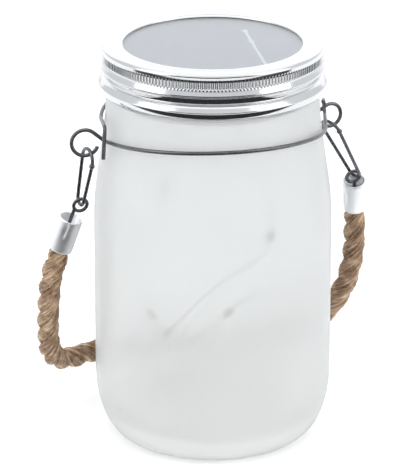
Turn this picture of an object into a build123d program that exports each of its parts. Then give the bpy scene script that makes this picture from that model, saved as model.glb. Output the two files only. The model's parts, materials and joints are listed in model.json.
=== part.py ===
"""A mason jar lantern: a frosted jar, a two-piece screw lid with a lamp insert, and a rope handle.

The origin is the centre of the jar's base, +Z is up, and the handle hangs round the back, at +Y.
Every size is in millimetres.
"""

from build123d import *
from math import acos, atan2, cos, degrees, pi, radians, sin, sqrt, tan
import os

os.makedirs("parts", exist_ok=True)

# ---------------------------------------------------------------- driving sizes

# glass jar
body_r = 39.5
wall = 3.2
base_thick = 6.5
heel_across = 10.4  # the rounded corner at the foot
heel_up = 23.0
straight_top = 60.0  # where the straight side ends and the shoulder begins
inner_heel_across = 10.0
inner_heel_up = 16.0
neck_r = 35.2
neck_top = 119.6  # where the neck steps in to the threaded finish
finish_r = 33.6
mouth_r = 30.4
rim_top = 131.7
thread_pitch = 5.08
thread_out = 1.1
thread_turns = 1.15
thread_start = 121.6

# lid stack, from the jar's rim up
stack_gap = 0.05  # what lets the band turn on the stack
gasket_thick = 1.0
flange_z = rim_top + stack_gap + gasket_thick
flange_thick = 1.4
flange_r = 34.4
cell_r = 29.9
cell_thick = 0.8
window_thick = 1.1
window_r = 34.6
window_z = flange_z + flange_thick
band_top = window_z + window_thick + stack_gap + 0.4

# lamp insert under the lid
tub_r = 29.4
tub_wall = 1.6
tub_bottom = 117.0
deck_thick = 1.5
cover_thick = 1.4
boss_ring_r = 23.5
boss_r = 2.8
screw_r = 1.1
cell_length = 28.0
battery_r = 5.25
spring_room = 3.4
board_top = 124.0
board_at = (-2.0, 13.0)
switch_at = (-11.0, 15.5)
switch_travel = 2.0
gland_at = (6.0, 6.0)  # where the light string leaves the cover
battery_y = -9.0

# screw band
tin = 0.4
band_r = 36.4
opening_r = 29.4
roll_r = 0.95
roll_z = band_top - 14.25
band_corner = 1.3
bead_start = 5.3  # these three are depths below the band's top
groove_start = 7.7
groove_end = 10.3
bead_out = 0.3
groove_in = 0.7
flare_out = 0.9
flare_drop = 1.8

# wires
neck_wire_d = 1.3
link_wire_d = 1.2
hoop_r = 37.2
eye_rise = 105.75  # height of both eyes' centres
link_top_r = 3.7
link_foot_r = 2.2
link_gap = 0.65
latch_curl_r = 0.96
hook_run = 3.0  # from the hoop's end to the bend into its hook
hook_bend = 1.7
eye_run = 5.7  # from the hoop's other end to the bend into its eye
eye_bend = 1.9

# handle
rope_d = 7.4
ferrule_r = 4.05
ferrule_bore_r = 3.5
ferrule_long = 12.0
ferrule_cup = 2.6
ferrule_web = 2.0
ferrule_rim = 0.6
rope_in = 6.0
shank_gap = 0.05
binding_gap = 0.05
rivet_head_r = 1.6
rivet_head_thick = 0.8
rivet_root = 0.4  # how far the shank runs on into its head
ring_r = 2.3

# light string
string_d = 0.6
bead_r = 1.3
bead_long = 4.2

# ---------------------------------------------------------------- glass jar

with BuildPart() as glass_jar:
    with BuildSketch(Plane.XZ) as jar_profile:
        with BuildLine():
            Line((0, 0), (body_r - heel_across, 0))
            EllipticalCenterArc(
                (body_r - heel_across, heel_up), heel_across, heel_up, start_angle=270, arc_size=90
            )
            Line((body_r, heel_up), (body_r, straight_top))
            Spline(
                (body_r, straight_top), (39.0, 85), (37.2, 98), (35.6, 110), (neck_r, 116),
                tangents=((0, 1), (0, 1)),
            )
            Polyline((neck_r, 116), (neck_r, neck_top), (finish_r, neck_top + 1), (finish_r, rim_top - 1))
            RadiusArc((finish_r, rim_top - 1), (finish_r - 1, rim_top), -1)
            Line((finish_r - 1, rim_top), (mouth_r + 1, rim_top))
            RadiusArc((mouth_r + 1, rim_top), (mouth_r, rim_top - 1), -1)
            Line((mouth_r, rim_top - 1), (mouth_r, 114))
            Spline(
                (mouth_r, 114), (31.2, 107), (33.8, 96), (35.7, 82), (body_r - wall, straight_top),
                tangents=((0, -1), (0, -1)),
            )
            Line((body_r - wall, straight_top), (body_r - wall, base_thick + inner_heel_up))
            EllipticalCenterArc(
                (body_r - wall - inner_heel_across, base_thick + inner_heel_up),
                inner_heel_across, inner_heel_up, start_angle=270, arc_size=90,
            )
            Polyline((body_r - wall - inner_heel_across, base_thick), (0, base_thick), (0, 0))
        make_face()
    revolve(axis=Axis.Z)
    # one right-hand thread, a rounded ridge that starts and ends in the glass
    with BuildLine(Plane.XY.offset(thread_start)) as thread_line:
        Helix(pitch=thread_pitch, height=thread_pitch * thread_turns, radius=finish_r)
    with BuildSketch(Plane(origin=thread_line.line @ 0, z_dir=thread_line.line % 0, x_dir=(1, 0, 0))):
        Ellipse(thread_out, 1.0)
    sweep(path=thread_line.line, is_frenet=True)
glass_jar.part.label = "glass_jar"
export_step(glass_jar.part, "parts/glass_jar.step")

# ---------------------------------------------------------------- lid insert

with BuildPart() as rim_gasket:
    with BuildSketch(Plane.XY.offset(rim_top + stack_gap)):
        Circle(flange_r - 0.6)
        Circle(mouth_r + 0.2, mode=Mode.SUBTRACT)
    extrude(amount=gasket_thick)
rim_gasket.part.label = "rim_gasket"
export_step(rim_gasket.part, "parts/rim_gasket.step")

tub_in = tub_r - tub_wall
deck_z = window_z - cell_thick - 0.35 - deck_thick
cover_z = tub_bottom
cover_top = cover_z + cover_thick
battery_z = cover_top + 0.4 + battery_r

with BuildPart() as lid_tray:
    with BuildSketch(Plane.XY.offset(flange_z)):
        Circle(flange_r)
    extrude(amount=flange_thick)
    with BuildSketch(Plane.XY.offset(tub_bottom)):
        Circle(tub_r)
    extrude(amount=flange_z - tub_bottom)
    # the recess for the solar cell, over the deck
    with BuildSketch(Plane.XY.offset(deck_z + deck_thick)):
        Circle(cell_r + 0.05)
    extrude(until=Until.LAST, mode=Mode.SUBTRACT)
    # the room under the deck
    with BuildSketch(Plane.XY.offset(tub_bottom)):
        Circle(tub_in)
    extrude(amount=deck_z - tub_bottom, mode=Mode.SUBTRACT)
    # bosses for the cover's screws, and the rails of the battery bay
    with BuildSketch(Plane.XY.offset(cover_top)):
        with PolarLocations(boss_ring_r, 3, start_angle=30):
            Circle(boss_r)
        with Locations((0, battery_y - battery_r - 1.0), (0, battery_y + battery_r + 1.0)):
            Rectangle(cell_length + 9, 1.2)
    extrude(amount=deck_z - cover_top + 0.1)
    with BuildSketch(Plane.XY.offset(cover_top)):
        with PolarLocations(boss_ring_r, 3, start_angle=30):
            Circle(screw_r)
    extrude(amount=8, mode=Mode.SUBTRACT)
    # the hole that the cell's leads pass through
    with BuildSketch(Plane.XY.offset(deck_z - 1)):
        with Locations((12, 10)):
            Circle(1.5)
    extrude(amount=deck_thick + 2, mode=Mode.SUBTRACT)
lid_tray.part.label = "lid_tray"
export_step(lid_tray.part, "parts/lid_tray.step")

cell_z = deck_z + deck_thick
with BuildPart() as solar_cell:
    with BuildSketch(Plane.XY.offset(cell_z)):
        Circle(cell_r)
    extrude(amount=cell_thick)
solar_cell.part.label = "solar_cell"
export_step(solar_cell.part, "parts/solar_cell.step")

# the tab wire lies across the cell, from its front right edge to a solder dot at the back
ribbon_far = Vector(10.5, 16.4, cell_z + cell_thick)
ribbon_near = Vector(17.1, -22.0, cell_z + cell_thick)
ribbon_way = (ribbon_near - ribbon_far).normalized()
ribbon_plane = Plane(origin=(ribbon_far + ribbon_near) / 2, x_dir=ribbon_way, z_dir=(0, 0, 1))
ribbon_long = (ribbon_near - ribbon_far).length
with BuildPart() as tab_ribbon:
    with BuildSketch(ribbon_plane):
        SlotOverall(ribbon_long, 1.0)
        with Locations((-ribbon_long / 2 + 0.6, 0), (-ribbon_long / 6, 0)):
            Circle(1.1)
    extrude(amount=0.2)
tab_ribbon.part.label = "tab_ribbon"
export_step(tab_ribbon.part, "parts/tab_ribbon.step")

with BuildPart() as window_lens:
    with BuildSketch(Plane.XY.offset(window_z)):
        Circle(window_r)
    extrude(amount=window_thick)
    chamfer(window_lens.edges().group_by(Axis.Z)[-1], length=0.2)
window_lens.part.label = "window_lens"
export_step(window_lens.part, "parts/window_lens.step")

with BuildPart() as battery_cover:
    with BuildSketch(Plane.XY.offset(cover_z)):
        Circle(tub_in - 0.1)
        with Locations(gland_at):
            Circle(1.6, mode=Mode.SUBTRACT)
        with Locations(switch_at):
            Rectangle(7.0, 3.0, mode=Mode.SUBTRACT)
    extrude(amount=cover_thick)
    with Locations(Plane.XY.offset(cover_z).rotated((180, 0, 0))):
        with PolarLocations(boss_ring_r, 3, start_angle=-30):
            CounterSinkHole(radius=screw_r + 0.1, counter_sink_radius=2.2, depth=cover_thick)
battery_cover.part.label = "battery_cover"
export_step(battery_cover.part, "parts/battery_cover.step")

with BuildPart() as one_screw:
    with BuildSketch(Plane.XZ):
        with BuildLine():
            Polyline(
                (0, cover_z + 0.1), (2.0, cover_z + 0.1), (screw_r - 0.05, cover_z + 1.1),
                (screw_r - 0.05, cover_z + 7.5), (0, cover_z + 8.3), (0, cover_z + 0.1),
            )
        make_face()
    revolve(axis=Axis.Z)
    with BuildSketch(Plane.XY.offset(cover_z)):
        Rectangle(2.6, 0.5)
        Rectangle(0.5, 2.6)
    extrude(amount=0.7, mode=Mode.SUBTRACT)

with BuildPart() as cover_screws:
    with PolarLocations(boss_ring_r, 3, start_angle=30):
        add(one_screw.part)
cover_screws.part.label = "cover_screws"
export_step(cover_screws.part, "parts/cover_screws.step")

battery_axis = Plane(origin=(-cell_length / 2, battery_y, battery_z), x_dir=(0, 1, 0), z_dir=(1, 0, 0))
with BuildPart() as rechargeable_cell:
    with BuildSketch(battery_axis):
        Circle(battery_r)
    extrude(amount=cell_length - 1)
    fillet(rechargeable_cell.edges(), radius=0.6)
    with BuildSketch(battery_axis.offset(cell_length - 1)):
        Circle(1.9)
    extrude(amount=1)
rechargeable_cell.part.label = "rechargeable_cell"
export_step(rechargeable_cell.part, "parts/rechargeable_cell.step")

with BuildPart() as contact_spring:
    with BuildLine(battery_axis.offset(-spring_room + 0.3)) as spring_line:
        Helix(pitch=1.0, height=spring_room - 0.7, radius=2.6, direction=(1, 0, 0))
    with BuildSketch(Plane(origin=spring_line.line @ 0, z_dir=spring_line.line % 0)):
        Circle(0.25)
    sweep(path=spring_line.line, is_frenet=True)
contact_spring.part.label = "contact_spring"
export_step(contact_spring.part, "parts/contact_spring.step")

with BuildPart() as contact_plates:
    with BuildSketch(battery_axis.offset(-spring_room - 0.4)):
        Rectangle(9.0, 9.0)
    extrude(amount=0.3)
    with BuildSketch(battery_axis.offset(cell_length + 0.05)):
        Rectangle(9.0, 9.0)
    extrude(amount=0.3)
contact_plates.part.label = "contact_plates"
export_step(contact_plates.part, "parts/contact_plates.step")

with BuildPart() as circuit_board:
    with BuildSketch(Plane.XY.offset(board_top - 1.0)):
        with Locations(board_at):
            Rectangle(30, 12)
    extrude(amount=1.0)
circuit_board.part.label = "circuit_board"
export_step(circuit_board.part, "parts/circuit_board.step")

with BuildPart() as board_parts:
    with BuildSketch(Plane.XY.offset(board_top)):
        with Locations((7.5, 14.0)):
            Circle(2.2)
        with Locations((0, 14.5)):
            Rectangle(4.0, 4.0)
        with Locations((-6.0, 10.5), (-9.5, 10.5)):
            Rectangle(2.0, 1.2)
    extrude(amount=2.4)
board_parts.part.label = "board_parts"
export_step(board_parts.part, "parts/board_parts.step")

switch_low = cover_top + 0.1
with BuildPart() as switch_body:
    with BuildSketch(Plane.XY.offset(switch_low)):
        with Locations(switch_at):
            Rectangle(9.0, 5.0)
            Rectangle(6.2, 2.2, mode=Mode.SUBTRACT)
    extrude(amount=2.0)
    with BuildSketch(Plane.XY.offset(switch_low + 2.0)):
        with Locations(switch_at):
            Rectangle(9.0, 5.0)
    extrude(amount=board_top - 1.0 - switch_low - 2.0)
switch_body.part.label = "switch_body"
export_step(switch_body.part, "parts/switch_body.step")

with BuildPart() as switch_slider:
    with BuildSketch(Plane.XY.offset(cover_z - 1.2)):
        with Locations((switch_at[0] - switch_travel / 2, switch_at[1])):
            Rectangle(2.6, 2.0)
    extrude(amount=switch_low + 1.8 - cover_z + 1.2)
    chamfer(switch_slider.edges().group_by(Axis.Z)[0], length=0.3)
switch_slider.part.label = "switch_slider"
export_step(switch_slider.part, "parts/switch_slider.step")

with BuildPart() as wire_grommet:
    with BuildSketch(Plane.XZ.offset(-gland_at[1])):
        with BuildLine():
            Polyline(
                (gland_at[0] + string_d / 2, cover_z - 0.8), (gland_at[0] + 2.2, cover_z - 0.8),
                (gland_at[0] + 2.2, cover_z - 0.05), (gland_at[0] + 1.5, cover_z - 0.05),
                (gland_at[0] + 1.5, cover_top + 0.05), (gland_at[0] + 2.2, cover_top + 0.05),
                (gland_at[0] + 2.2, cover_top + 0.8), (gland_at[0] + string_d / 2, cover_top + 0.8),
                close=True,
            )
        make_face()
    revolve(axis=Axis((gland_at[0], gland_at[1], 0), (0, 0, 1)))
wire_grommet.part.label = "wire_grommet"
export_step(wire_grommet.part, "parts/wire_grommet.step")

# ---------------------------------------------------------------- light string

# the wire comes straight out of the grommet and keeps the loops that it was bent into
string_route = [
    (6.0, 6.0, 116.2), (6.6, 5.0, 106.0), (14.5, -5.0, 96.0), (20.0, -18.0, 83.0), (17.0, -27.0, 70.5),
    (5.0, -31.5, 66.5), (-9.0, -30.5, 53.0), (-20.5, -25.5, 37.0), (-26.0, -12.0, 21.0),
    (-21.0, 7.0, 12.5), (-4.0, 18.0, 11.5), (14.0, 19.0, 16.0), (26.0, 10.0, 28.0),
    (28.5, -5.0, 45.0), (21.5, -20.0, 57.0), (9.5, -30.0, 58.0), (0.5, -33.0, 49.0),
    (-9.0, -31.0, 42.0), (-17.0, -23.5, 43.5), (-23.0, -16.0, 53.0), (-24.5, -10.0, 67.0),
    (-17.5, -2.0, 80.0), (-13.0, 5.0, 92.0), (-11.0, 9.5, 101.0),
]


def corner_radii(route):
    """The largest tangent arc that each corner's shorter run allows, at 0.45 of that run."""
    points = [Vector(*p) for p in route]
    radii = []
    for before, here, after in zip(points, points[1:], points[2:]):
        run_in, run_out = here - before, after - here
        turn = radians(run_in.get_angle(run_out))
        radii.append(0.45 * min(run_in.length, run_out.length) / tan(turn / 2))
    return radii


with BuildPart() as light_string:
    with BuildLine() as string_line:
        FilletPolyline(*string_route, radius=corner_radii(string_route))
    with BuildSketch(Plane(origin=string_line.line @ 0, z_dir=string_line.line % 0)):
        Circle(string_d / 2)
    sweep(path=string_line.line)
light_string.part.label = "light_string"
export_step(light_string.part, "parts/light_string.step")

# a clear bead is moulded round the wire in the middle of every third run
with BuildPart() as led_beads:
    for here, there in list(zip(string_route, string_route[1:]))[3::3]:
        run = Vector(*there) - Vector(*here)
        middle = (Vector(*there) + Vector(*here)) / 2
        with BuildSketch(Plane(origin=middle, x_dir=run.normalized(), z_dir=run.cross(Vector(0, 0, 1)))):
            with BuildLine():
                Line((-bead_long / 2, string_d / 2), (bead_long / 2, string_d / 2))
                ThreePointArc(
                    (bead_long / 2, string_d / 2), (0, bead_r), (-bead_long / 2, string_d / 2)
                )
            make_face()
        revolve(axis=Axis(middle, run))
led_beads.part.label = "led_beads"
export_step(led_beads.part, "parts/led_beads.step")

# ---------------------------------------------------------------- screw band

bead_z = band_top - (bead_start + groove_start) / 2
groove_z = band_top - (groove_start + groove_end) / 2
flare_r = band_r + flare_out
flare_z = band_top - groove_end - flare_drop
with BuildPart() as screw_band:
    with BuildSketch(Plane.XZ) as band_profile:
        with BuildLine():
            Line((opening_r, band_top), (band_r - band_corner, band_top))
            RadiusArc((band_r - band_corner, band_top), (band_r, band_top - band_corner), band_corner)
            Line((band_r, band_top - band_corner), (band_r, band_top - bead_start))
            ThreePointArc(
                (band_r, band_top - bead_start), (band_r + bead_out, bead_z),
                (band_r, band_top - groove_start),
            )
            ThreePointArc(
                (band_r, band_top - groove_start), (band_r - groove_in, groove_z),
                (band_r, band_top - groove_end),
            )
            Polyline(
                (band_r, band_top - groove_end), (flare_r, flare_z), (flare_r, roll_z),
                (flare_r - tin, roll_z), (flare_r - tin, flare_z + 0.1),
                (band_r - tin, band_top - groove_end),
            )
            ThreePointArc(
                (band_r - tin, band_top - groove_end), (band_r - groove_in - tin, groove_z),
                (band_r - tin, band_top - groove_start),
            )
            ThreePointArc(
                (band_r - tin, band_top - groove_start), (band_r + bead_out - tin, bead_z),
                (band_r - tin, band_top - bead_start),
            )
            Line((band_r - tin, band_top - bead_start), (band_r - tin, band_top - band_corner))
            RadiusArc(
                (band_r - tin, band_top - band_corner), (band_r - band_corner, band_top - tin),
                tin - band_corner,
            )
            Polyline(
                (band_r - band_corner, band_top - tin), (opening_r, band_top - tin), (opening_r, band_top)
            )
        make_face()
        with Locations((flare_r - roll_r + tin, roll_z)):
            Circle(roll_r)
    revolve(axis=Axis.Z)
screw_band.part.label = "screw_band"
export_step(screw_band.part, "parts/screw_band.step")

# ---------------------------------------------------------------- neck wires


def level(angle):
    """The level direction at an angle from +X towards +Y."""
    return Vector(cos(radians(angle)), sin(radians(angle)), 0)


def start_of(path):
    """The plane that a round wire's section stands on, where its path begins."""
    return Plane(origin=path @ 0, z_dir=path % 0)


class Eye:
    """A round eye in an upright plane, which its wire enters from a corner beside the jar."""

    def __init__(self, corner, radius, angle, reach, last):
        self.corner = corner
        self.radius = radius
        self.last = last
        self.out = level(angle)
        self.centre = Vector(corner.X, corner.Y, eye_rise) + self.out * reach
        rise = corner.Z - eye_rise
        self.first = degrees(atan2(rise, reach) + acos(radius / sqrt(reach**2 + rise**2)))

    def at(self, angle):
        """A point of the eye's wire, at an angle from its side next to the jar, over the top."""
        turn = radians(angle)
        inward, up = self.radius * cos(turn), self.radius * sin(turn)
        return self.centre - self.out * inward + Vector(0, 0, up)


class Hoop:
    """Half of the hoop round the neck, from the hook's side to the eye's, and its eye."""

    def __init__(self, far, middle, near, hook, **eye):
        self.ends = (far, middle, near)
        arc = ThreePointArc(far, middle, near)
        self.far, self.near = arc @ 0, arc @ 1
        self.hook_start = self.far - (arc % 0) * hook_run
        self.hook = hook
        self.eye = Eye(self.near + (arc % 1) * eye_run, **eye)

    def path(self):
        """Draw the whole wire, from the hook's tip to the end of the eye."""
        FilletPolyline(*reversed(self.hook), self.hook_start, self.far, radius=hook_bend)
        ThreePointArc(*self.ends)
        eye = self.eye
        FilletPolyline(self.near, eye.corner, eye.at(eye.first), radius=eye_bend)
        ThreePointArc(eye.at(eye.first), eye.at((eye.first + eye.last) / 2), eye.at(eye.last))


front_hoop = Hoop(
    far=(37.2, -1.0, 106.4), middle=(0, -37.0, 109.9), near=(-32.5, -18.0, 106.7),
    radius=4.4, angle=190, reach=6.5, last=340,
    hook=[(37.4, 17.4, 105.8), (37.0, 17.4, 110.6), (36.7, 13.0, 111.0)],
)
rear_hoop = Hoop(
    far=(-36.7, 1.0, 110.6), middle=(0, 36.9, 111.2), near=(32.5, 18.0, 108.0),
    radius=3.9, angle=26, reach=4.4, last=298,
    hook=[(-35.0, -16.3, 111.6), (-35.6, -16.8, 101.0)],
)

with BuildPart() as front_neck_wire:
    with BuildLine() as front_line:
        front_hoop.path()
    with BuildSketch(start_of(front_line.wire())):
        Circle(neck_wire_d / 2)
    sweep(path=front_line.wire())
front_neck_wire.part.label = "front_neck_wire"
export_step(front_neck_wire.part, "parts/front_neck_wire.step")

with BuildPart() as rear_neck_wire:
    with BuildLine() as rear_line:
        rear_hoop.path()
    with BuildSketch(start_of(rear_line.wire())):
        Circle(neck_wire_d / 2)
    sweep(path=rear_line.wire())
rear_neck_wire.part.label = "rear_neck_wire"
export_step(rear_neck_wire.part, "parts/rear_neck_wire.step")

# ---------------------------------------------------------------- rope handle

# the rope runs from the left ferrule's mouth, round the back, to the right ferrule's mouth
rope_route = [
    (-50.5, -8.6, 67.0), (-53.5, -7.4, 58.2), (-54.9, -3.6, 47.8), (-55.5, 1.0, 36.6),
    (-55.8, 6.0, 26.2), (-53.2, 14.5, 17.2), (-44.0, 22.5, 16.7), (-35.0, 33.0, 15.5),
    (-21.0, 43.5, 12.5), (-3.0, 48.5, 10.5), (14.5, 47.5, 12.0), (29.5, 42.5, 17.0),
    (39.2, 37.5, 25.8), (45.6, 34.8, 36.5), (48.3, 32.8, 48.0), (48.5, 30.0, 59.8),
    (48.2, 26.2, 69.2),
]
rope_points = [Vector(*p) for p in rope_route]

with BuildPart() as rope:
    with BuildLine() as rope_line:
        FilletPolyline(*rope_route, radius=corner_radii(rope_route))
    with BuildSketch(start_of(rope_line.wire())):
        Circle(rope_d / 2)
    sweep(path=rope_line.wire())
    # each end is bound down to fit in its ferrule
    for mouth, inner in ((rope_points[0], rope_points[1]), (rope_points[-1], rope_points[-2])):
        with BuildSketch(Plane(origin=mouth, z_dir=mouth - inner)):
            Circle(ferrule_bore_r - binding_gap)
        extrude(amount=rope_in)
rope.part.label = "rope"
export_step(rope.part, "parts/rope.step")


class RopeEnd:
    """Where the ferrule and its ring stand at one end of the rope."""

    def __init__(self, mouth, inner, shank, sway, jar_way):
        self.down = (inner - mouth).normalized()
        self.top = mouth - self.down * ferrule_long
        # the ring stands upright, in the plane of its shank and of the line to the other ring
        side = (jar_way - self.down * jar_way.dot(self.down)).normalized()
        self.ring = self.top - self.down * (ring_r + shank) + side * sway
        self.shank_top = self.ring - side * sway + self.down * sqrt(ring_r**2 - sway**2)
        self.hang = (self.down - jar_way * self.down.dot(jar_way)).normalized()
        self.face = jar_way.cross(self.hang)
        self.pivot = self.ring - self.hang * ring_r


rightwards = (rope_points[-1] - rope_points[0]).normalized()
left_end = RopeEnd(rope_points[0], rope_points[1], shank=3.0, sway=1.6, jar_way=rightwards)
right_end = RopeEnd(rope_points[-1], rope_points[-2], shank=-0.5, sway=0.4, jar_way=-rightwards)

for name, end in (("left", left_end), ("right", right_end)):
    with BuildPart() as ferrule:
        with BuildSketch(Plane(origin=end.top, z_dir=end.down)):
            Circle(ferrule_r)
        extrude(amount=ferrule_long)
        with BuildSketch(Plane(origin=end.top, z_dir=end.down)):
            Circle(ferrule_r - ferrule_rim)
        extrude(amount=ferrule_cup, mode=Mode.SUBTRACT)
        with BuildSketch(Plane(origin=end.top, z_dir=end.down)):
            Circle(link_wire_d / 2 + shank_gap)
        extrude(amount=ferrule_cup + ferrule_web, mode=Mode.SUBTRACT)
        with BuildSketch(Plane(origin=end.top + end.down * ferrule_long, z_dir=-end.down)):
            Circle(ferrule_bore_r)
        extrude(amount=ferrule_long - ferrule_cup - ferrule_web, mode=Mode.SUBTRACT)
    ferrule.part.label = f"{name}_ferrule"
    export_step(ferrule.part, f"parts/{name}_ferrule.step")

    with BuildPart() as ring:
        with Locations(Plane(origin=end.ring, x_dir=end.hang, z_dir=end.face)):
            Torus(ring_r, link_wire_d / 2)
        # the shank is headed over inside the ferrule
        web_foot = end.top + end.down * (ferrule_cup + ferrule_web + shank_gap)
        with BuildSketch(Plane(origin=end.shank_top, z_dir=end.down)):
            Circle(link_wire_d / 2)
        extrude(amount=(web_foot - end.shank_top).length + rivet_root)
        with BuildSketch(Plane(origin=web_foot, z_dir=end.down)):
            Circle(rivet_head_r)
        extrude(amount=rivet_head_thick)
    ring.part.label = f"{name}_ferrule_ring"
    export_step(ring.part, f"parts/{name}_ferrule_ring.step")

# ---------------------------------------------------------------- snap links


def over(wire_way, drop, touching):
    """How far along the link its bend lies from the middle of a wire that hangs in it."""
    slant = wire_way.dot(drop.normalized())
    return (touching + link_gap) / sqrt(1 - slant**2)


link_sides = [
    ("left", front_hoop.eye.at(284), level(-62), front_hoop.eye, left_end),
    ("right", rear_hoop.eye.at(274), level(-43), rear_hoop.eye, right_end),
]
for name, top_pivot, width, eye, end in link_sides:
    drop = end.pivot - top_pivot
    print(name, "link, pivot to pivot:", round(drop.length, 2))
    crown = over(eye.out, drop, (neck_wire_d + link_wire_d) / 2)
    foot = -drop.length - over(rightwards, drop, link_wire_d)
    top_y, foot_y = crown - link_top_r, foot + link_foot_r
    lean = degrees(atan2(link_top_r - link_foot_r, top_y - foot_y))
    way_up = -drop.normalized()
    face = width.cross(way_up)
    with BuildPart() as link:
        with BuildLine(Plane(origin=top_pivot, x_dir=way_up.cross(face), z_dir=face)) as loop:
            top_arc = CenterArc((0, top_y), link_top_r, -lean, 180 + 2 * lean)
            foot_arc = CenterArc((0, foot_y), link_foot_r, 180 + lean, 180 - 2 * lean)
            Line(top_arc @ 1, foot_arc @ 0)
            Line(foot_arc @ 1, top_arc @ 0)
        with BuildSketch(start_of(loop.wire())):
            Circle(link_wire_d / 2)
        sweep(path=loop.wire())
        # the tip of the sprung leg is curled round the other, which closes the link
        with Locations(loop.wire() @ 0):
            Sphere(latch_curl_r)
    link.part.label = f"{name}_link"
    export_step(link.part, f"parts/{name}_link.step")

for name, route in (("rope", rope_route), ("string", string_route)):
    print(name, "bend radii:", [round(r, 1) for r in corner_radii(route)])
for name, line, part, diameter in (
    ("rope", rope_line, rope, rope_d), ("string", string_line, light_string, string_d)
):
    length = line.wire().length
    print(name, "length", round(length, 1), "volume", round(part.part.volume, 1),
          "section times length", round(length * pi * diameter**2 / 4, 1))
print("swing axis", left_end.pivot, right_end.pivot)
print("eye axis", link_sides[0][1], link_sides[1][1])
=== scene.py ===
"""The looks of a frosted mason jar lantern with a lamp insert in its lid and a jute rope handle.

Lengths are in metres, and MM turns millimetres into them. +Z is up and -Y is towards the viewer.
"""

import bpy
import json
import random
from math import cos, exp, pi, radians, sin
from mathutils import Matrix, Vector, noise


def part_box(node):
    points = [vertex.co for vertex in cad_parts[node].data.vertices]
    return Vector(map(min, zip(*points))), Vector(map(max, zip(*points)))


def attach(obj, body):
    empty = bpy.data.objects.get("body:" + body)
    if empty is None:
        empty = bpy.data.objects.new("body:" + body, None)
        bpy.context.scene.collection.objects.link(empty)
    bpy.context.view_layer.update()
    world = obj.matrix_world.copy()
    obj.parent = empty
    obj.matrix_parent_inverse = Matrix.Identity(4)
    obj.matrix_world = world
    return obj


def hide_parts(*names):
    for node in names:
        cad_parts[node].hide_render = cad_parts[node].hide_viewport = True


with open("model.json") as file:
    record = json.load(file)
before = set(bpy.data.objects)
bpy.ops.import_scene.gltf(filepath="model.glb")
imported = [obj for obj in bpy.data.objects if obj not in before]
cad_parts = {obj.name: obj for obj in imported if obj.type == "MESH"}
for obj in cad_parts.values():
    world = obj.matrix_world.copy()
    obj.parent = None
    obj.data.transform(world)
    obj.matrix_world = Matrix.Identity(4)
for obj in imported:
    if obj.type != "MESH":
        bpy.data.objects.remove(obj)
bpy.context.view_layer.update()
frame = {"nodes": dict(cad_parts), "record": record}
nodes = frame["nodes"]
MM = 0.001

# ------------------------------------------------------------------ camera

camera = bpy.data.objects.new("camera", bpy.data.cameras.new("camera"))
bpy.context.scene.collection.objects.link(camera)
camera.location = (0, -1.077, 0.4655)
camera.rotation_euler = (radians(69.6), 0, 0)
camera.data.sensor_width = 36
camera.data.lens = 261
camera.data.shift_x = -0.0183
camera.data.shift_y = 0.0159
bpy.context.scene.camera = camera

# ------------------------------------------------------------------ cord routes

ROPE_ROUTE = [
    (-50.5, -8.6, 67.0), (-53.5, -7.4, 58.2), (-54.9, -3.6, 47.8), (-55.5, 1.0, 36.6),
    (-55.8, 6.0, 26.2), (-53.2, 14.5, 17.2), (-44.0, 22.5, 16.7), (-35.0, 33.0, 15.5),
    (-21.0, 43.5, 12.5), (-3.0, 48.5, 10.5), (14.5, 47.5, 12.0), (29.5, 42.5, 17.0),
    (39.2, 37.5, 25.8), (45.6, 34.8, 36.5), (48.3, 32.8, 48.0), (48.5, 30.0, 59.8),
    (48.2, 26.2, 69.2),
]
ROPE_D = 7.4 * MM
STRING_ROUTE = [
    (6.0, 6.0, 116.2), (6.6, 5.0, 106.0), (14.5, -5.0, 96.0), (20.0, -18.0, 83.0), (17.0, -27.0, 70.5),
    (5.0, -31.5, 66.5), (-9.0, -30.5, 53.0), (-20.5, -25.5, 37.0), (-26.0, -12.0, 21.0),
    (-21.0, 7.0, 12.5), (-4.0, 18.0, 11.5), (14.0, 19.0, 16.0), (26.0, 10.0, 28.0),
    (28.5, -5.0, 45.0), (21.5, -20.0, 57.0), (9.5, -30.0, 58.0), (0.5, -33.0, 49.0),
    (-9.0, -31.0, 42.0), (-17.0, -23.5, 43.5), (-23.0, -16.0, 53.0), (-24.5, -10.0, 67.0),
    (-17.5, -2.0, 80.0), (-13.0, 5.0, 92.0), (-11.0, 9.5, 101.0),
]
STRING_D = 0.6 * MM


def in_metres(route):
    """A route's points as vectors."""
    return [Vector(p) * MM for p in route]


def nurbs(name, points, thickness=0.0):
    """A curve object of one open NURBS spline with these control points."""
    data = bpy.data.curves.new(name, "CURVE")
    data.dimensions = "3D"
    data.resolution_u = 12
    data.bevel_depth = thickness / 2
    spline = data.splines.new("NURBS")
    spline.points.add(len(points) - 1)
    for spot, p in zip(spline.points, points):
        spot.co = (*p, 1)
    spline.order_u = 3
    spline.use_endpoint_u = True
    curve = bpy.data.objects.new(name, data)
    bpy.context.scene.collection.objects.link(curve)
    return curve


def line_of(points):
    """The smooth line of a NURBS spline with these control points."""
    bare = nurbs("bare_line", points)
    mesh = bpy.data.meshes.new_from_object(bare)
    line = [v.co.copy() for v in mesh.vertices]
    bpy.data.objects.remove(bare)
    bpy.data.meshes.remove(mesh)
    return line


def spaced(line, step):
    """The line again, with points one step apart."""
    points, along, goal = [line[0]], 0.0, step
    for here, there in zip(line, line[1:]):
        run = (there - here).length
        while goal <= along + run:
            points.append(here.lerp(there, (goal - along) / run))
            goal += step
        along += run
    return points


# ------------------------------------------------------------------ mesh helpers


def mesh_object(name, points, faces, smooth=True):
    """A mesh object of these points and faces."""
    mesh = bpy.data.meshes.new(name)
    mesh.from_pydata(points, [], faces)
    mesh.validate()
    mesh.polygons.foreach_set("use_smooth", [smooth] * len(mesh.polygons))
    made = bpy.data.objects.new(name, mesh)
    bpy.context.scene.collection.objects.link(made)
    return made


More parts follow.
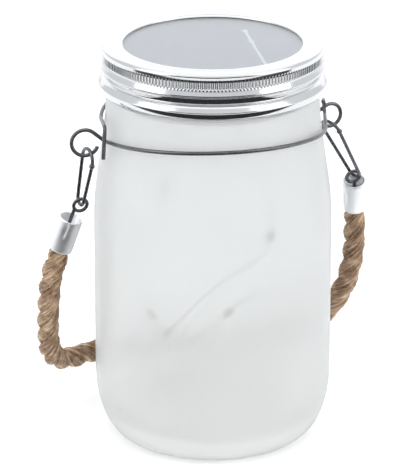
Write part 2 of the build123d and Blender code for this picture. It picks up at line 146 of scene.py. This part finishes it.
def ring_faces(rings, around, closed_loop=False, first=0):
    """The faces between rings of points that follow each other."""
    faces = []
    for i in range(rings if closed_loop else rings - 1):
        here, there = first + i * around, first + (i + 1) % rings * around
        for j in range(around):
            k = (j + 1) % around
            faces.append((here + j, here + k, there + k, there + j))
    return faces


def tube_faces(rings, around, first):
    """The faces of a tube of rings, with both its ends closed."""
    last = first + (rings - 1) * around
    ends = [range(first + around - 1, first - 1, -1), range(last, last + around)]
    return ring_faces(rings, around, first=first) + [tuple(end) for end in ends]


def lathe(name, outline, around, radius_at=None):
    """A closed outline of (radius, height) points turned about the Z axis.

    radius_at, where given, says how far out a point of the outline really lies at each turn.
    """
    points = []
    for j in range(around):
        turn = 2 * pi * j / around
        for i, (r, z) in enumerate(outline):
            shown = radius_at(i, turn, r, z) if radius_at else r
            points.append((shown * cos(turn), shown * sin(turn), z))
    count = len(outline)
    return mesh_object(name, points, ring_faces(around, count, closed_loop=True))


def arc(centre, radius, start, end, steps):
    """Points of a round stretch of an outline, from one angle to another in degrees."""
    turns = [radians(start + (end - start) * i / steps) for i in range(steps + 1)]
    return [(centre[0] + radius * cos(t), centre[1] + radius * sin(t)) for t in turns]


def settle(piece, body, material, slot, *replaced):
    """Give a new piece its body and its material, and hide the CAD nodes that it stands for. The slot
    is not used.
    """
    piece.data.materials.clear()
    piece.data.materials.append(material)
    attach(piece, body)
    if replaced:
        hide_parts(*replaced)
    return piece


# ------------------------------------------------------------------ materials

WHITE = (1, 1, 1, 1)
NOISE_LOW, NOISE_HIGH = 0.3, 0.7  # most of a noise texture's values lie between these
BROADER = 12  # how many times broader the patches of colour are than the grain
GLOSS_SPREAD = 0.2  # how far the roughness strays either way, as a share of it
GRAIN_HIGH = 0.2 * MM
# a Mix node has several sockets of each name, so its colour ones go by number
MIX_FACTOR, MIX_BASE, MIX_OVER, MIX_RESULT = 0, 6, 7, 2
STREAK_STRETCH = (0.05, 0.8, 1.0)  # the fibres run long along a strand and lie close round it


class Shader:
    """A material's node tree, with the shader and what feeds it."""

    def __init__(self, name, **sockets):
        self.material = bpy.data.materials.new(name)
        self.material.use_nodes = True
        self.tree = self.material.node_tree
        self.bsdf = self.tree.nodes["Principled BSDF"]
        for socket, value in sockets.items():
            self.bsdf.inputs[socket.replace("_", " ")].default_value = value

    def node(self, kind, settings=None, **inputs):
        """A new node. An input is a value, or another node's output."""
        made = self.tree.nodes.new(kind)
        for key, value in (settings or {}).items():
            setattr(made, key, value)
        for socket, value in inputs.items():
            self.feed(made.inputs[socket.replace("_", " ")], value)
        return made

    def feed(self, socket, value):
        """Set a socket to a value, or link another node's output to it."""
        if isinstance(value, bpy.types.NodeSocket):
            self.tree.links.new(value, socket)
        else:
            socket.default_value = value

    def place(self):
        """Object coordinates."""
        return self.node("ShaderNodeTexCoord").outputs["Object"]

    def noise(self, scale, vector, detail=4.0, roughness=0.55):
        """A noise texture's factor."""
        return self.node(
            "ShaderNodeTexNoise", Vector=vector, Scale=scale, Detail=detail, Roughness=roughness
        ).outputs["Fac"]

    def ramp(self, factor, *stops):
        """A colour ramp of (position, colour) stops."""
        made = self.node("ShaderNodeValToRGB", Fac=factor)
        elements = made.color_ramp.elements
        while len(elements) < len(stops):
            elements.new(0.5)
        for element, (position, colour) in zip(elements, stops):
            element.position = position
            element.color = (*colour, 1)
        return made.outputs["Color"]

    def span(self, factor, low, high):
        """A noise factor turned into a value between two ends."""
        made = self.node("ShaderNodeMapRange", Value=factor)
        ends = {"From Min": NOISE_LOW, "From Max": NOISE_HIGH, "To Min": low, "To Max": high}
        for socket, value in ends.items():
            made.inputs[socket].default_value = value
        return made.outputs["Result"]

    def multiply(self, base, over, amount):
        """One colour darkened by another, as far as the amount says."""
        made = self.node("ShaderNodeMix", {"data_type": "RGBA", "blend_type": "MULTIPLY"})
        made.inputs[MIX_FACTOR].default_value = amount
        self.feed(made.inputs[MIX_BASE], base)
        self.feed(made.inputs[MIX_OVER], over)
        return made.outputs[MIX_RESULT]

    def bump(self, height, strength, distance):
        """Raise the surface by a height map."""
        made = self.node("ShaderNodeBump", Height=height, Strength=strength, Distance=distance)
        self.feed(self.bsdf.inputs["Normal"], made.outputs["Normal"])


def shaded(colour, amount):
    """A colour made darker or lighter."""
    return tuple(max(0.0, c * amount) for c in colour)


def plain(name, colour, rough, grain=900.0, relief=0.05, vary=0.06, **sockets):
    """A solid stuff with a fine grain, a slight change of colour and of gloss."""
    made = Shader(name, **sockets)
    place = made.place()
    broad = made.noise(grain / BROADER, place)
    fine = made.noise(grain, place)
    darker, lighter = shaded(colour, 1 - vary), shaded(colour, 1 + vary)
    made.feed(
        made.bsdf.inputs["Base Color"],
        made.ramp(broad, (NOISE_LOW, darker), (NOISE_HIGH, lighter)),
    )
    gloss = made.span(fine, rough * (1 - GLOSS_SPREAD), rough * (1 + GLOSS_SPREAD))
    made.feed(made.bsdf.inputs["Roughness"], gloss)
    made.bump(fine, relief, GRAIN_HIGH)
    return made.material


def metal(name, colour, rough, **more):
    """A plain stuff that is metal."""
    return plain(name, colour, rough, Metallic=1.0, **more)


def frosted_glass():
    """Acid-frosted glass: pale, satin, and clear enough to show what lies against it."""
    made = Shader("frosted_glass", IOR=1.3, Transmission_Weight=0.66, Specular_IOR_Level=0.35)
    cloud = made.noise(30.0, made.place())
    made.feed(
        made.bsdf.inputs["Base Color"],
        made.ramp(cloud, (NOISE_LOW, (0.90, 0.905, 0.90)), (NOISE_HIGH, (0.935, 0.94, 0.93))),
    )
    made.feed(made.bsdf.inputs["Roughness"], made.span(cloud, 0.33, 0.37))
    return made.material


def jute():
    """Twisted jute: streaked fibres along each strand, with painted shade where the strands meet."""
    made = Shader(
        "jute", Roughness=0.88, Sheen_Weight=0.25, Sheen_Roughness=0.5, Specular_IOR_Level=0.2,
    )
    uv = made.node("ShaderNodeUVMap", {"uv_map": "fibres"}).outputs["UV"]
    stretched = made.node("ShaderNodeMapping", Vector=uv)
    stretched.inputs["Scale"].default_value = STREAK_STRETCH
    streak = made.noise(3.0, stretched.outputs["Vector"], detail=6.0, roughness=0.7)
    patch = made.noise(190.0, made.place(), detail=2.0)
    outward = made.node("ShaderNodeAttribute", {"attribute_name": "outward"}).outputs["Fac"]
    fibres = made.ramp(
        streak,
        (0.34, (0.14, 0.075, 0.036)), (0.50, (0.41, 0.27, 0.165)), (0.66, (0.84, 0.66, 0.48)),
    )
    # painted shade: darker the nearer a point lies to the rope's middle, in the creases between the
    # strands
    painted_crease_shade = made.ramp(outward, (0.60, (0.06, 0.03, 0.015)), (0.84, WHITE[:3]))
    patches = made.ramp(patch, (0.44, (0.42, 0.35, 0.31)), (0.55, WHITE[:3]))
    crease_shaded = made.multiply(fibres, painted_crease_shade, 0.85)
    made.feed(made.bsdf.inputs["Base Color"], made.multiply(crease_shaded, patches, 0.7))
    made.bump(streak, 0.7, 0.35 * MM)
    return made.material


MATERIALS = {
    "frosted_glass": frosted_glass(),
    "tinplate": metal("tinplate", (0.66, 0.665, 0.67), 0.13, grain=500.0, relief=0.02, vary=0.03),
    "steel_wire": metal("steel_wire", (0.17, 0.17, 0.175), 0.30, grain=1500.0),
    "link_wire": metal("link_wire", (0.16, 0.16, 0.17), 0.28, grain=1500.0),
    "ferrule_metal": metal("ferrule_metal", (0.90, 0.91, 0.92), 0.46, grain=700.0, relief=0.06),
    "jute": jute(),
    "window_plastic": plain(
        "window_plastic", (0.96, 0.97, 0.98), 0.03, relief=0.0, vary=0.01,
        Transmission_Weight=1.0, IOR=1.46,
    ),
    # the cell's grey-blue is partly its own colour and partly a painted reflection of the pale studio,
    # which makes it paler than a bare cell
    "cell_face": plain("cell_face", (0.30, 0.335, 0.39), 0.35, grain=300.0, vary=0.04, Coat_Weight=0.4),
    "tab_metal": plain("tab_metal", (0.80, 0.87, 0.90), 0.3),
    "white_plastic": plain("white_plastic", (0.84, 0.84, 0.83), 0.45),
    "gasket_rubber": plain("gasket_rubber", (0.78, 0.78, 0.76), 0.7),
    "battery_sleeve": plain("battery_sleeve", (0.05, 0.26, 0.12), 0.3),
    "spring_metal": metal("spring_metal", (0.7, 0.69, 0.67), 0.3),
    "board_green": plain("board_green", (0.02, 0.16, 0.06), 0.35, vary=0.15),
    "board_parts": plain("board_parts", (0.03, 0.03, 0.035), 0.5),
    "switch_black": plain("switch_black", (0.02, 0.02, 0.022), 0.45),
    "silver_wire": metal("silver_wire", (0.62, 0.62, 0.62), 0.3),
    "bead_resin": plain("bead_resin", (0.55, 0.50, 0.36), 0.2, Transmission_Weight=0.3),
    "screw_steel": metal("screw_steel", (0.55, 0.55, 0.56), 0.35),
}

for part in frame["record"]["subparts"]:
    for spot in nodes[part["node"]].material_slots:
        spot.material = MATERIALS[part["material_slot"]]

# ------------------------------------------------------------------ rope handle

STRANDS = 3
STRAND_R = 2.05 * MM
STRAND_TURN_R = 1.65 * MM
LAY = 23.0 * MM  # the length of one whole turn of the strands
RING_STEP = 0.33 * MM
AROUND = 20
TUCKED = 2.0 * MM  # how far the rope runs on inside each ferrule
BOUND = 0.86  # the share of its thickness that the rope keeps where a ferrule grips it
BOUND_LONG = 3.0 * MM
YARNS = 5
YARN_LAY = 11 * MM  # the length of one whole turn of the yarns round their strand
YARN_DEPTH = 0.045  # a share of the strand's radius
WANDER = 0.16 * MM  # how far a strand strays from its even turn
WANDER_LONG = 9 * MM
ROUGH_DEPTH = 0.09  # a share of the strand's radius
ROUGH_LONG = 0.9 * MM
ROUGH_AROUND = 2.2  # the radius of a strand in the noise that makes it rough
WANDER_APART, ROUGH_APART = 7.3, 9  # how far apart in the noise the strands are
FIBRE_ROWS = 6  # how far the fibre pattern goes in one turn round a strand


def frames_along(line):
    """At each point of a line, its tangent and two directions across it that don't twist."""
    out = []
    across = None
    for i, here in enumerate(line):
        before, after = line[max(i - 1, 0)], line[min(i + 1, len(line) - 1)]
        along = (after - before).normalized()
        across = along.orthogonal() if across is None else across - along * across.dot(along)
        across.normalize()
        out.append((here, along, across.copy(), along.cross(across)))
    return out


def rope_line():
    """The rope's line, run on straight into both ferrules."""
    line = line_of(in_metres(ROPE_ROUTE))
    start, end = line[0], line[-1]
    before = start + (start - line[1]).normalized() * TUCKED
    after = end + (end - line[-2]).normalized() * TUCKED
    return [before, *line, after]


def strand_rings(stations, k):
    """The rings of one strand, and for each point how far out it lies and its place on the fibres."""
    points, outward, fibres = [], [], []
    total = (len(stations) - 1) * RING_STEP
    for i, (here, along, u, v) in enumerate(stations):
        s = i * RING_STEP
        turn = 2 * pi * (s / LAY + k / STRANDS)
        free = max(0.0, min(s, total - s) - TUCKED)
        grip = 1 - (1 - BOUND) * exp(-((free / BOUND_LONG) ** 2))
        out = u * cos(turn) + v * sin(turn)
        side = v * cos(turn) - u * sin(turn)
        lean = 2 * pi * STRAND_TURN_R / LAY
        way = (along + side * lean).normalized()
        level = way.cross(out)
        # this noise is 0 wherever all three numbers are whole, which the 0.5 rules out
        wander = noise.noise(Vector((s / WANDER_LONG, k * WANDER_APART, 0.5))) * WANDER
        centre = here + out * (STRAND_TURN_R * grip + wander)
        for j in range(AROUND):
            angle = 2 * pi * j / AROUND
            yarn = YARN_DEPTH * cos(YARNS * (angle - 2 * pi * s / YARN_LAY))
            sideways = ROUGH_AROUND * cos(angle) + ROUGH_APART * k
            place = Vector((s / ROUGH_LONG, sideways, ROUGH_AROUND * sin(angle)))
            rough = ROUGH_DEPTH * noise.noise(place)
            r = STRAND_R * grip * (1 + yarn + rough)
            spot = centre + (out * cos(angle) + level * sin(angle)) * r
            points.append(spot)
            outward.append((spot - here).length / (STRAND_R + STRAND_TURN_R))
            fibres.append((s / MM, angle / (2 * pi) * FIBRE_ROWS))
    return points, outward, fibres


def rope_mesh(stations):
    """The rope's three strands as one mesh."""
    points, outward, fibres, faces = [], [], [], []
    for k in range(STRANDS):
        first = len(points)
        strand = strand_rings(stations, k)
        points += strand[0]
        outward += strand[1]
        fibres += strand[2]
        faces += tube_faces(len(stations), AROUND, first)
    rope = mesh_object("jute_rope", points, faces)
    attribute = rope.data.attributes.new("outward", "FLOAT", "POINT")
    attribute.data.foreach_set("value", outward)
    uv = rope.data.uv_layers.new(name="fibres")
    for loop in rope.data.loops:
        uv.data[loop.index].uv = fibres[loop.vertex_index]
    return rope


FIBRES = 6000
FIBRE_SEED = 7
FIBRE_R = 0.045 * MM
FIBRE_LONG = (0.7, 2.6)  # in millimetres
FIBRE_TAPER = 0.8  # the share of its thickness that a fibre loses on the way to its tip
FIBRE_BEND = 0.6
FIBRE_RINGS = 4
FIBRE_SIDES = 3
HIDDEN = 0.7  # nearer the rope's middle than this share of its radius, a fibre wouldn't show
# how far a fibre leans along the rope, out of it and round it, and how far it curls each way
LEAN_ALONG, LEAN_OUT, LEAN_ROUND, CURL = (-1.4, 1.4), (0.25, 1.0), (-1, 1), (-0.6, 0.6)


def fibre_points(root, lean, curl, long):
    """The rings of one fibre, which tapers and bends more towards its tip."""
    wide = lean.orthogonal().normalized()
    deep = lean.cross(wide)
    points = []
    for step in range(FIBRE_RINGS):
        t = step / (FIBRE_RINGS - 1)
        middle = root + lean * (long * t) + curl * (long * FIBRE_BEND * t * t)
        r = FIBRE_R * (1 - FIBRE_TAPER * t)
        for corner in range(FIBRE_SIDES):
            a = 2 * pi * corner / FIBRE_SIDES
            points.append(middle + (wide * cos(a) + deep * sin(a)) * r)
    return points


def fuzz_mesh(stations, rope):
    """Loose ends of fibre that stand off the rope."""
    draw = random.Random(FIBRE_SEED)
    points, faces = [], []
    spots = rope.data.vertices
    for _ in range(FIBRES):
        spot = spots[draw.randrange(len(spots))]
        station = spot.index % (len(stations) * AROUND) // AROUND
        here, along, _, _ = stations[station]
        out = (spot.co - here).normalized()
        if (spot.co - here).length < HIDDEN * ROPE_D / 2:
            continue
        lean = along * draw.uniform(*LEAN_ALONG) + out * draw.uniform(*LEAN_OUT)
        lean += out.cross(along) * draw.uniform(*LEAN_ROUND)
        lean.normalize()
        curl = Vector([draw.uniform(*CURL) for _ in range(3)])
        long = draw.uniform(*FIBRE_LONG) * MM
        faces += tube_faces(FIBRE_RINGS, FIBRE_SIDES, len(points))
        points += fibre_points(spot.co, lean, curl, long)
    return mesh_object("rope_fuzz", points, faces, smooth=False)


rope_stations = frames_along(spaced(rope_line(), RING_STEP))
rope = settle(rope_mesh(rope_stations), "handle", MATERIALS["jute"], "jute", "rope")
fuzz_stuff = plain("jute_fibre", (0.50, 0.34, 0.20), 0.8, grain=400.0, vary=0.3)
fuzz = settle(fuzz_mesh(rope_stations, rope), "handle", fuzz_stuff, "jute")
line_of(in_metres(ROPE_ROUTE))

# ------------------------------------------------------------------ light string

light_string = nurbs("silver_light_string", in_metres(STRING_ROUTE), STRING_D)
light_string.data.bevel_resolution = 3
settle(light_string, "lid", MATERIALS["silver_wire"], "silver_wire", "light_string")

# ------------------------------------------------------------------ screw band
# the sections of the band and the ferrules are in millimetres

RIBS = 190
RIB_STEPS = 6  # how many steps one rib takes round the band
RIB_LEVELS = 10  # how many steps the ribs take from their top to their bottom
RIB_DEPTH = 0.45 * MM
RIB_FADE = 0.3  # how far the ribs take to reach their full depth
BAND_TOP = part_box("screw_band")[1].z / MM
BAND_R = 36.4
OPENING_R = 29.4
OPENING_EDGE_R = 0.38
SHOULDER_R = 1.1
SHOULDER_END = 1.7  # how far below the top the plain stretch above the ribs begins
TIN = 0.4
KNURL = (2.0, 5.2)  # how far below the top the ribs begin and end
# the shallow ring pressed into the top, as (radius, how far below the top)
TOP_RING = [(31.2, 0), (31.5, 0.10), (34.2, 0.10), (34.6, 0)]
UNDER_TOP = [(34.9, TIN), (31.4, TIN)]
# the rest of the section, as (how far out of the wall, how far below the top): first the bead
BEAD = [
    (0.08, 5.5), (0.32, 6.1), (0.55, 6.7), (0.70, 7.1), (0.72, 7.35), (0.6, 7.55), (0.3, 7.65),
    (0, 7.7),
]
# the groove narrows as it goes down, then turns out sharply
GROOVE = [
    (-0.16, 8.1), (-0.38, 8.6), (-0.58, 9.1), (-0.74, 9.6), (-0.80, 9.9), (-0.72, 10.1),
    (-0.4, 10.3),
]
# the roll is tucked under the flare
FLARE_AND_ROLL = [
    (0.0, 10.5), (0.5, 11.2), (0.95, 11.8), (1.2, 12.15), (1.3, 12.4), (1.28, 12.9), (1.14, 13.5),
    (0.9, 14.1), (0.58, 14.65), (0.2, 15.05), (-0.15, 15.2), (-0.45, 15.05), (-0.6, 14.6), (-0.5, 14.0),
    (-0.15, 13.6), (0.3, 13.3),
]
INSIDE_FLARE = [(0.45, 12.3), (0.35, 11.8), (-0.35, 10.7)]
INSIDE_RIBS = [(-0.65, 5.0), (-0.65, 1.9)]


def from_axis(profile):
    """Points given as (radius, how far below the top) as (radius, height)."""
    return [(r, BAND_TOP - drop) for r, drop in profile]


def from_wall(profile):
    """Points given as (how far out of the wall, how far below the top) as (radius, height)."""
    return [(BAND_R + out, BAND_TOP - drop) for out, drop in profile]


def tin_inside(stretch):
    """The inside of a stretch of the wall, from its bottom up."""
    return [(r - TIN, z) for r, z in reversed(stretch[1:-1])]


def band_outline():
    """The band's section, from its opening over the outside and back inside.

    Also how many of the points are on the outside.
    """
    edge = (OPENING_R + OPENING_EDGE_R, BAND_TOP - OPENING_EDGE_R)
    shoulder = (BAND_R - SHOULDER_R, BAND_TOP - SHOULDER_R)
    step = (KNURL[1] - KNURL[0]) / RIB_LEVELS
    ribs = [(0, KNURL[0] + step * i) for i in range(RIB_LEVELS + 1)]
    bead, groove = from_wall(BEAD), from_wall(GROOVE)
    outside = [
        *arc(edge, OPENING_EDGE_R, 180, 90, 6), *from_axis(TOP_RING),
        *arc(shoulder, SHOULDER_R, 90, 0, 8), *from_wall([(0, SHOULDER_END), *ribs]),
        *bead, *groove, *from_wall(FLARE_AND_ROLL),
    ]
    inside = [
        *from_wall(INSIDE_FLARE), *tin_inside(groove), *tin_inside(bead),
        *from_wall(INSIDE_RIBS), *from_axis(UNDER_TOP),
    ]
    return outside + inside, len(outside)


band_points, band_outer = band_outline()


def ribbed(i, turn, r, z):
    """The band's radius at one point: between the ribs the wall stands further in."""
    depth = BAND_TOP - z / MM
    if i >= band_outer or not KNURL[0] < depth < KNURL[1]:
        return r
    fade = min(1.0, (depth - KNURL[0]) / RIB_FADE, (KNURL[1] - depth) / RIB_FADE)
    valley = 1 - abs(cos(RIBS * turn / 2))
    return r - RIB_DEPTH * fade * valley


band = lathe("ribbed_screw_band", [(r * MM, z * MM) for r, z in band_points], RIBS * RIB_STEPS, ribbed)
settle(band, "band", MATERIALS["tinplate"], "tinplate", "screw_band")

# ------------------------------------------------------------------ ferrules

FERRULE_R = 4.05
FERRULE_BORE_R = 3.5
FERRULE_LONG = 12.0
FERRULE_CUP = 2.6  # the depth of the hollow at the top
FERRULE_WEB = 2.0  # the thickness of the floor between that hollow and the rope
FERRULE_WALL = 0.6  # the wall round that hollow
RIM_BEVEL = 0.12
EDGE_IN, EDGE_DOWN = 0.2, 0.25  # the bevel of the outer edges
FERRULE_AROUND = 120
SIDE_STEPS = 30  # enough along the side for the dents to show
SIDE_FROM = FERRULE_R - 0.1  # only the side is pressed in, and it stands further out than this
SHANK_HOLE_R = 0.65
# a dent is (turn, depth below the top, length, width of turn, how deep)
CRIMP = (0.15, 3.2, 2.6, 0.12, 0.6)
EDGE_MARKS = [(-1.35, 1.4 + 1.5 * i, 0.35, 0.22, 0.22) for i in range(7)]
RIGHT_DENT = (0.9, 6.0, 3.0, 0.22, 0.3)


def ferrule_outline():
    """The section of a ferrule, as (radius, depth below its top)."""
    r, rim, bore, long = FERRULE_R, FERRULE_R - FERRULE_WALL, FERRULE_BORE_R, FERRULE_LONG
    web = FERRULE_CUP + FERRULE_WEB
    step = (long - 2 * EDGE_DOWN) / SIDE_STEPS
    side = [(r, EDGE_DOWN + step * i) for i in range(SIDE_STEPS + 1)]
    return [
        (rim, RIM_BEVEL), (rim + RIM_BEVEL, 0.0), (r - EDGE_IN, 0.0), *side, (r - EDGE_IN, long),
        (bore, long), (bore, web), (SHANK_HOLE_R, web), (SHANK_HOLE_R, FERRULE_CUP),
        (rim, FERRULE_CUP),
    ]


def ferrule(name, mouth, inner, dents):
    """A drawn metal cup round the rope's mouth, with dents pressed into its side."""
    down = (inner - mouth).normalized()
    top = mouth - down * FERRULE_LONG * MM
    towards = Vector((0, -1, 0))
    towards = (towards - down * towards.dot(down)).normalized()
    across = down.cross(towards)

    def pressed(i, turn, r, z):
        if r < SIDE_FROM * MM:
            return r
        for where, depth, long, wide, deep in dents:
            off = (turn - where + pi) % (2 * pi) - pi
            r -= deep * MM * exp(-(((z / MM - depth) / long) ** 4) - (off / wide) ** 2)
        return r

    outline = [(r * MM, z * MM) for r, z in ferrule_outline()]
    made = lathe(name, outline, FERRULE_AROUND, pressed)
    made.data.transform(Matrix((
        (towards.x, across.x, down.x, top.x), (towards.y, across.y, down.y, top.y),
        (towards.z, across.z, down.z, top.z), (0, 0, 0, 1),
    )))
    return made


rope_spots = in_metres(ROPE_ROUTE)
left = ferrule("crimped_left_ferrule", rope_spots[0], rope_spots[1], [CRIMP, *EDGE_MARKS])
settle(left, "handle", MATERIALS["ferrule_metal"], "ferrule_metal", "left_ferrule")
right = ferrule("crimped_right_ferrule", rope_spots[-1], rope_spots[-2], [RIGHT_DENT])
settle(right, "handle", MATERIALS["ferrule_metal"], "ferrule_metal", "right_ferrule")

# ------------------------------------------------------------------ floor and light


def panel(name, size, place, aim, stuff, only_reflected=False):
    """A flat rectangle that faces the point it aims at.

    An only_reflected one shows in reflections and nowhere else.
    """
    w, h = size[0] / 2, size[1] / 2
    corners = [(-w, -h, 0), (w, -h, 0), (w, h, 0), (-w, h, 0)]
    made = mesh_object(name, corners, [(0, 1, 2, 3)], smooth=False)
    made.data.materials.append(stuff)
    made.location = place
    made.rotation_euler = (Vector(aim) - Vector(place)).to_track_quat("Z", "Y").to_euler()
    if only_reflected:
        made.visible_camera = made.visible_diffuse = False
        made.visible_shadow = made.visible_transmission = False


floor_stuff = plain(
    "pale_floor", (0.93, 0.93, 0.93), 0.9, grain=60.0, relief=0.0, vary=0.01,
    Emission_Color=WHITE, Emission_Strength=0.25,
)
dark = plain("dark_card", (0.012, 0.012, 0.012), 0.95, relief=0.0)
glow = plain(
    "back_glow", (0.9, 0.9, 0.9), 0.9, relief=0.0, Emission_Color=WHITE, Emission_Strength=0.35,
)

panel("floor", (14, 14), (0, 0, 0), (0, 0, 1), floor_stuff)
# what the metal and the glass reflect: dark cards in front of them and a pale panel behind
panel("low_card", (1.8, 0.34), (0, -0.22, 0.002), (0, -0.22, 1), dark, only_reflected=True)
panel("front_card", (2.4, 0.56), (0, -1.3, 0.28), (0, 0, 0.28), dark, only_reflected=True)
panel("back_glow", (3.0, 1.3), (0, 1.7, 0.80), (0, 0, 0.15), glow, only_reflected=True)


def softbox(name, place, aim, size, power):
    """A rectangular area light that faces the point it aims at."""
    data = bpy.data.lights.new(name, "AREA")
    data.shape = "RECTANGLE"
    data.size, data.size_y = size
    data.energy = power
    made = bpy.data.objects.new(name, data)
    bpy.context.scene.collection.objects.link(made)
    made.location = place
    made.rotation_euler = (Vector(aim) - Vector(place)).to_track_quat("-Z", "Y").to_euler()
    return made


middle = (0, 0, 0.07)
softbox("top_box", (0, 0.1, 1.3), middle, (1.6, 1.6), 4.5)
softbox("left_box", (-1.2, -0.5, 0.8), middle, (0.9, 1.2), 4)
softbox("right_box", (1.2, -0.5, 0.8), middle, (0.9, 1.2), 4)

world = bpy.data.worlds.new("studio")
bpy.context.scene.world = world
world.use_nodes = True
world.node_tree.nodes["Background"].inputs["Color"].default_value = (0.95, 0.97, 1.0, 1)
world.node_tree.nodes["Background"].inputs["Strength"].default_value = 0.95

bpy.context.scene.view_settings.view_transform = "Standard"
